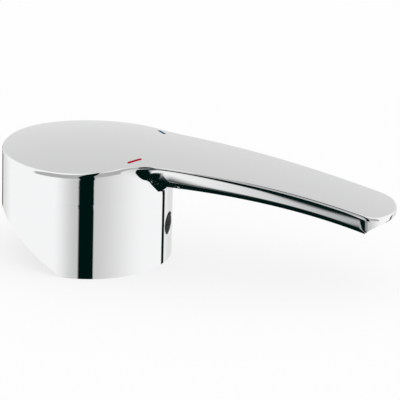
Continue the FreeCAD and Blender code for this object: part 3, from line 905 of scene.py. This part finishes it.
# Foot of the slit and dark parts of the table, by the parts of a direction to the right, towards the camera
# and upward. A slope tilts an edge. The bands are those along the top and the foot of the lever.
SLIT_FOOT = (-0.50, -0.44)
TABLE_LEVEL = (-0.42, -0.48)
TABLE_LEFT = (0.0, -0.1)
TABLE_FALL = 0.75
TABLE_DIM = 0.5
TABLE_RIGHT = (-0.04, 0.02)
TABLE_BACK = (0.02, -0.04)
TOP_BAND_START = (0.18, 0.26)
TOP_BAND_SLOPE = 2.2
TOP_BAND_EDGE = (-0.35, -0.315)
FOOT_BAND_SLOPE = 2.7
FOOT_BAND_EDGE = (-0.61, -0.70)
FOOT_BAND_ROOT_SLOPE = -0.5
FOOT_BAND_ROOT = (-0.235, -0.265)
TABLE_ENDS = ((0.75, (0.62, 0.55)), (1.55, (1.0, 0.93)))

# Half of the table top's side, its white, and the share of plain white mixed in for the camera.
TABLE_HALF = 3.0
TABLE_WHITE = 0.96
TABLE_PLAIN = 0.75


def tent_panels(light, studio, bearing, height):
    """Pale panels, the backdrop behind the handle and the greyer front of the tent."""
    away = light.math("ABSOLUTE", bearing)
    near, wall = grey(studio.near_light), grey(studio.wall_light)
    right = light.mix(light.turn(bearing, RIGHT_PANEL), near, wall)
    left = light.mix(light.turn(bearing, LEFT_PANEL), near, wall)
    panels = light.mix(light.turn(bearing, PANEL_JOIN), left, right)
    backdrop = light.mix(light.turn(height, BACKDROP_HEIGHT), grey(studio.back_low), grey(studio.back_high))
    panels = light.mix(light.turn(away, BACKDROP_BEARING), panels, backdrop)
    front = light.every(
        light.turn(height, FRONT_FOOT), light.turn(height, FRONT_TOP), light.turn(away, FRONT_BEARING)
    )
    return light.mix(front, panels, grey(studio.front_light))


def table_fall(light, aside, nearer, upward):
    """Slow fall of light on the table's left half towards the camera."""
    fall = light.every(light.step(upward, *TABLE_LEVEL), light.step(aside, *TABLE_LEFT), nearer, TABLE_FALL)
    return light.math("MINIMUM", light.most(fall, 0.0), TABLE_DIM)


def table_dark(light, aside, nearer, upward):
    """Dark part of the table."""
    top_band = light.every(
        light.step(nearer, *TOP_BAND_START),
        light.step(light.line(nearer, aside, TOP_BAND_SLOPE), *TOP_BAND_EDGE),
    )
    foot_band = light.every(
        light.step(light.line(nearer, aside, FOOT_BAND_SLOPE), *FOOT_BAND_EDGE),
        light.step(light.line(aside, nearer, FOOT_BAND_ROOT_SLOPE), *FOOT_BAND_ROOT),
    )
    dark = light.most(top_band, light.step(aside, *TABLE_RIGHT), light.step(nearer, *TABLE_BACK), foot_band)
    ends = [light.step(light.line(aside, nearer, slope), *edge) for slope, edge in TABLE_ENDS]
    return light.every(dark, *ends, light.step(upward, *TABLE_LEVEL))


def foot_gap(light, bearing, height, first, last):
    """Dark gap at the foot of the tent between two bearings."""
    return light.every(
        light.turn(bearing, (first - GAP_EDGE, first + GAP_EDGE)),
        light.turn(bearing, (last + GAP_EDGE, last - GAP_EDGE)),
        light.turn(height, GAP_TOP),
    )


def add_light(studio):
    """Light tent around the table: pale panels with a dark slit in front for the camera.

    The camera sees plain white, rough surfaces get even light, and polished metal sees the panels.
    """
    world = bpy.data.worlds.new("studio")
    world.use_nodes = True
    bpy.context.scene.world = world
    tree = world.node_tree
    light = Light(tree)
    ray = tree.nodes.new("ShaderNodeTexCoord").outputs["Generated"]
    turn = studio.lever_turn
    aside = light.dot(ray, (math.cos(turn), math.sin(turn), 0.0))
    nearer = light.dot(ray, (math.sin(turn), -math.cos(turn), 0.0))
    upward = light.dot(ray, (0.0, 0.0, 1.0))
    bearing = light.math("ARCTAN2", aside, nearer)
    height = light.math("ARCSINE", upward)
    slit = light.every(
        light.turn(bearing, SLIT_LEFT), light.turn(bearing, SLIT_RIGHT), light.step(upward, *SLIT_FOOT)
    )
    dark_parts = [slit, table_fall(light, aside, nearer, upward), table_dark(light, aside, nearer, upward)]
    dark_parts += [foot_gap(light, bearing, height, *gap) for gap in FOOT_GAPS]
    panels = tent_panels(light, studio, bearing, height)
    for part in dark_parts:
        panels = light.mix(part, panels, (*studio.slit_dark, 1.0))
    path = tree.nodes.new("ShaderNodeLightPath")
    seen = light.mix(path.outputs["Is Glossy Ray"], grey(1.0), panels)
    tree.links.new(seen, tree.nodes["Background"].inputs["Color"])


def add_floor():
    """Wide pale table top that keeps the handle's soft shadow."""
    bm = bmesh.new()
    bmesh.ops.create_grid(bm, x_segments=8, y_segments=8, size=TABLE_HALF)
    floor = new_piece("floor", bm)
    material, tree, shader = new_material("pale_table")
    shader.inputs["Base Color"].default_value = grey(TABLE_WHITE)
    shader.inputs["Roughness"].default_value = 0.9
    shader.inputs["Specular IOR Level"].default_value = 0.0
    white = tree.nodes.new("ShaderNodeEmission")
    path = tree.nodes.new("ShaderNodeLightPath")
    share = Light(tree).math("MULTIPLY", path.outputs["Is Camera Ray"], TABLE_PLAIN)
    mix = tree.nodes.new("ShaderNodeMixShader")
    Light(tree).feed(mix.inputs, (share, shader.outputs["BSDF"], white.outputs["Emission"]))
    tree.links.new(mix.outputs["Shader"], tree.nodes["Material Output"].inputs["Surface"])
    floor.data.materials.append(material)
    floor.visible_glossy = False


class TAPHANDLE_OT_stage(bpy.types.Operator):
    """Set the camera, the light and the table"""

    bl_idname = "taphandle.stage"
    bl_label = "Studio"

    def execute(self, context):
        studio = context.scene.handle_studio
        add_camera(studio)
        add_light(studio)
        add_floor()
        context.scene.view_settings.view_transform = "Standard"
        return {"FINISHED"}


class TAPHANDLE_PT_panel(bpy.types.Panel):
    """Steps that build the handle and its studio"""

    bl_idname = "TAPHANDLE_PT_panel"
    bl_label = "Tap handle"
    bl_space_type = "VIEW_3D"
    bl_region_type = "UI"
    bl_category = "Tap handle"

    def draw(self, context):
        column = self.layout.column()
        for step in STEPS:
            column.operator(step.bl_idname)
        for group in ("handle_sizes", "handle_finish", "handle_studio"):
            settings = getattr(context.scene, group)
            box = self.layout.box()
            for name in settings.__annotations__:
                box.prop(settings, name)


GROUPS = (("handle_sizes", HandleSizes), ("handle_finish", HandleFinish), ("handle_studio", HandleStudio))
STEPS = (TAPHANDLE_OT_stage, TAPHANDLE_OT_casting, TAPHANDLE_OT_marks, TAPHANDLE_OT_set_screw)


def register():
    """Register the settings, steps and panel."""
    for name, group in GROUPS:
        bpy.utils.register_class(group)
        setattr(bpy.types.Scene, name, PointerProperty(type=group))
    for item in (*STEPS, TAPHANDLE_PT_panel):
        bpy.utils.register_class(item)


def unregister():
    """Take the settings, steps and panel out again."""
    for item in (TAPHANDLE_PT_panel, *reversed(STEPS)):
        bpy.utils.unregister_class(item)
    for name, group in reversed(GROUPS):
        delattr(bpy.types.Scene, name)
        bpy.utils.unregister_class(group)


def main():
    """Build the handle and its studio."""
    register()
    bpy.ops.taphandle.stage()
    bpy.ops.taphandle.casting()
    bpy.ops.taphandle.marks()
    bpy.ops.taphandle.set_screw()


if __name__ == "__main__":
    main()
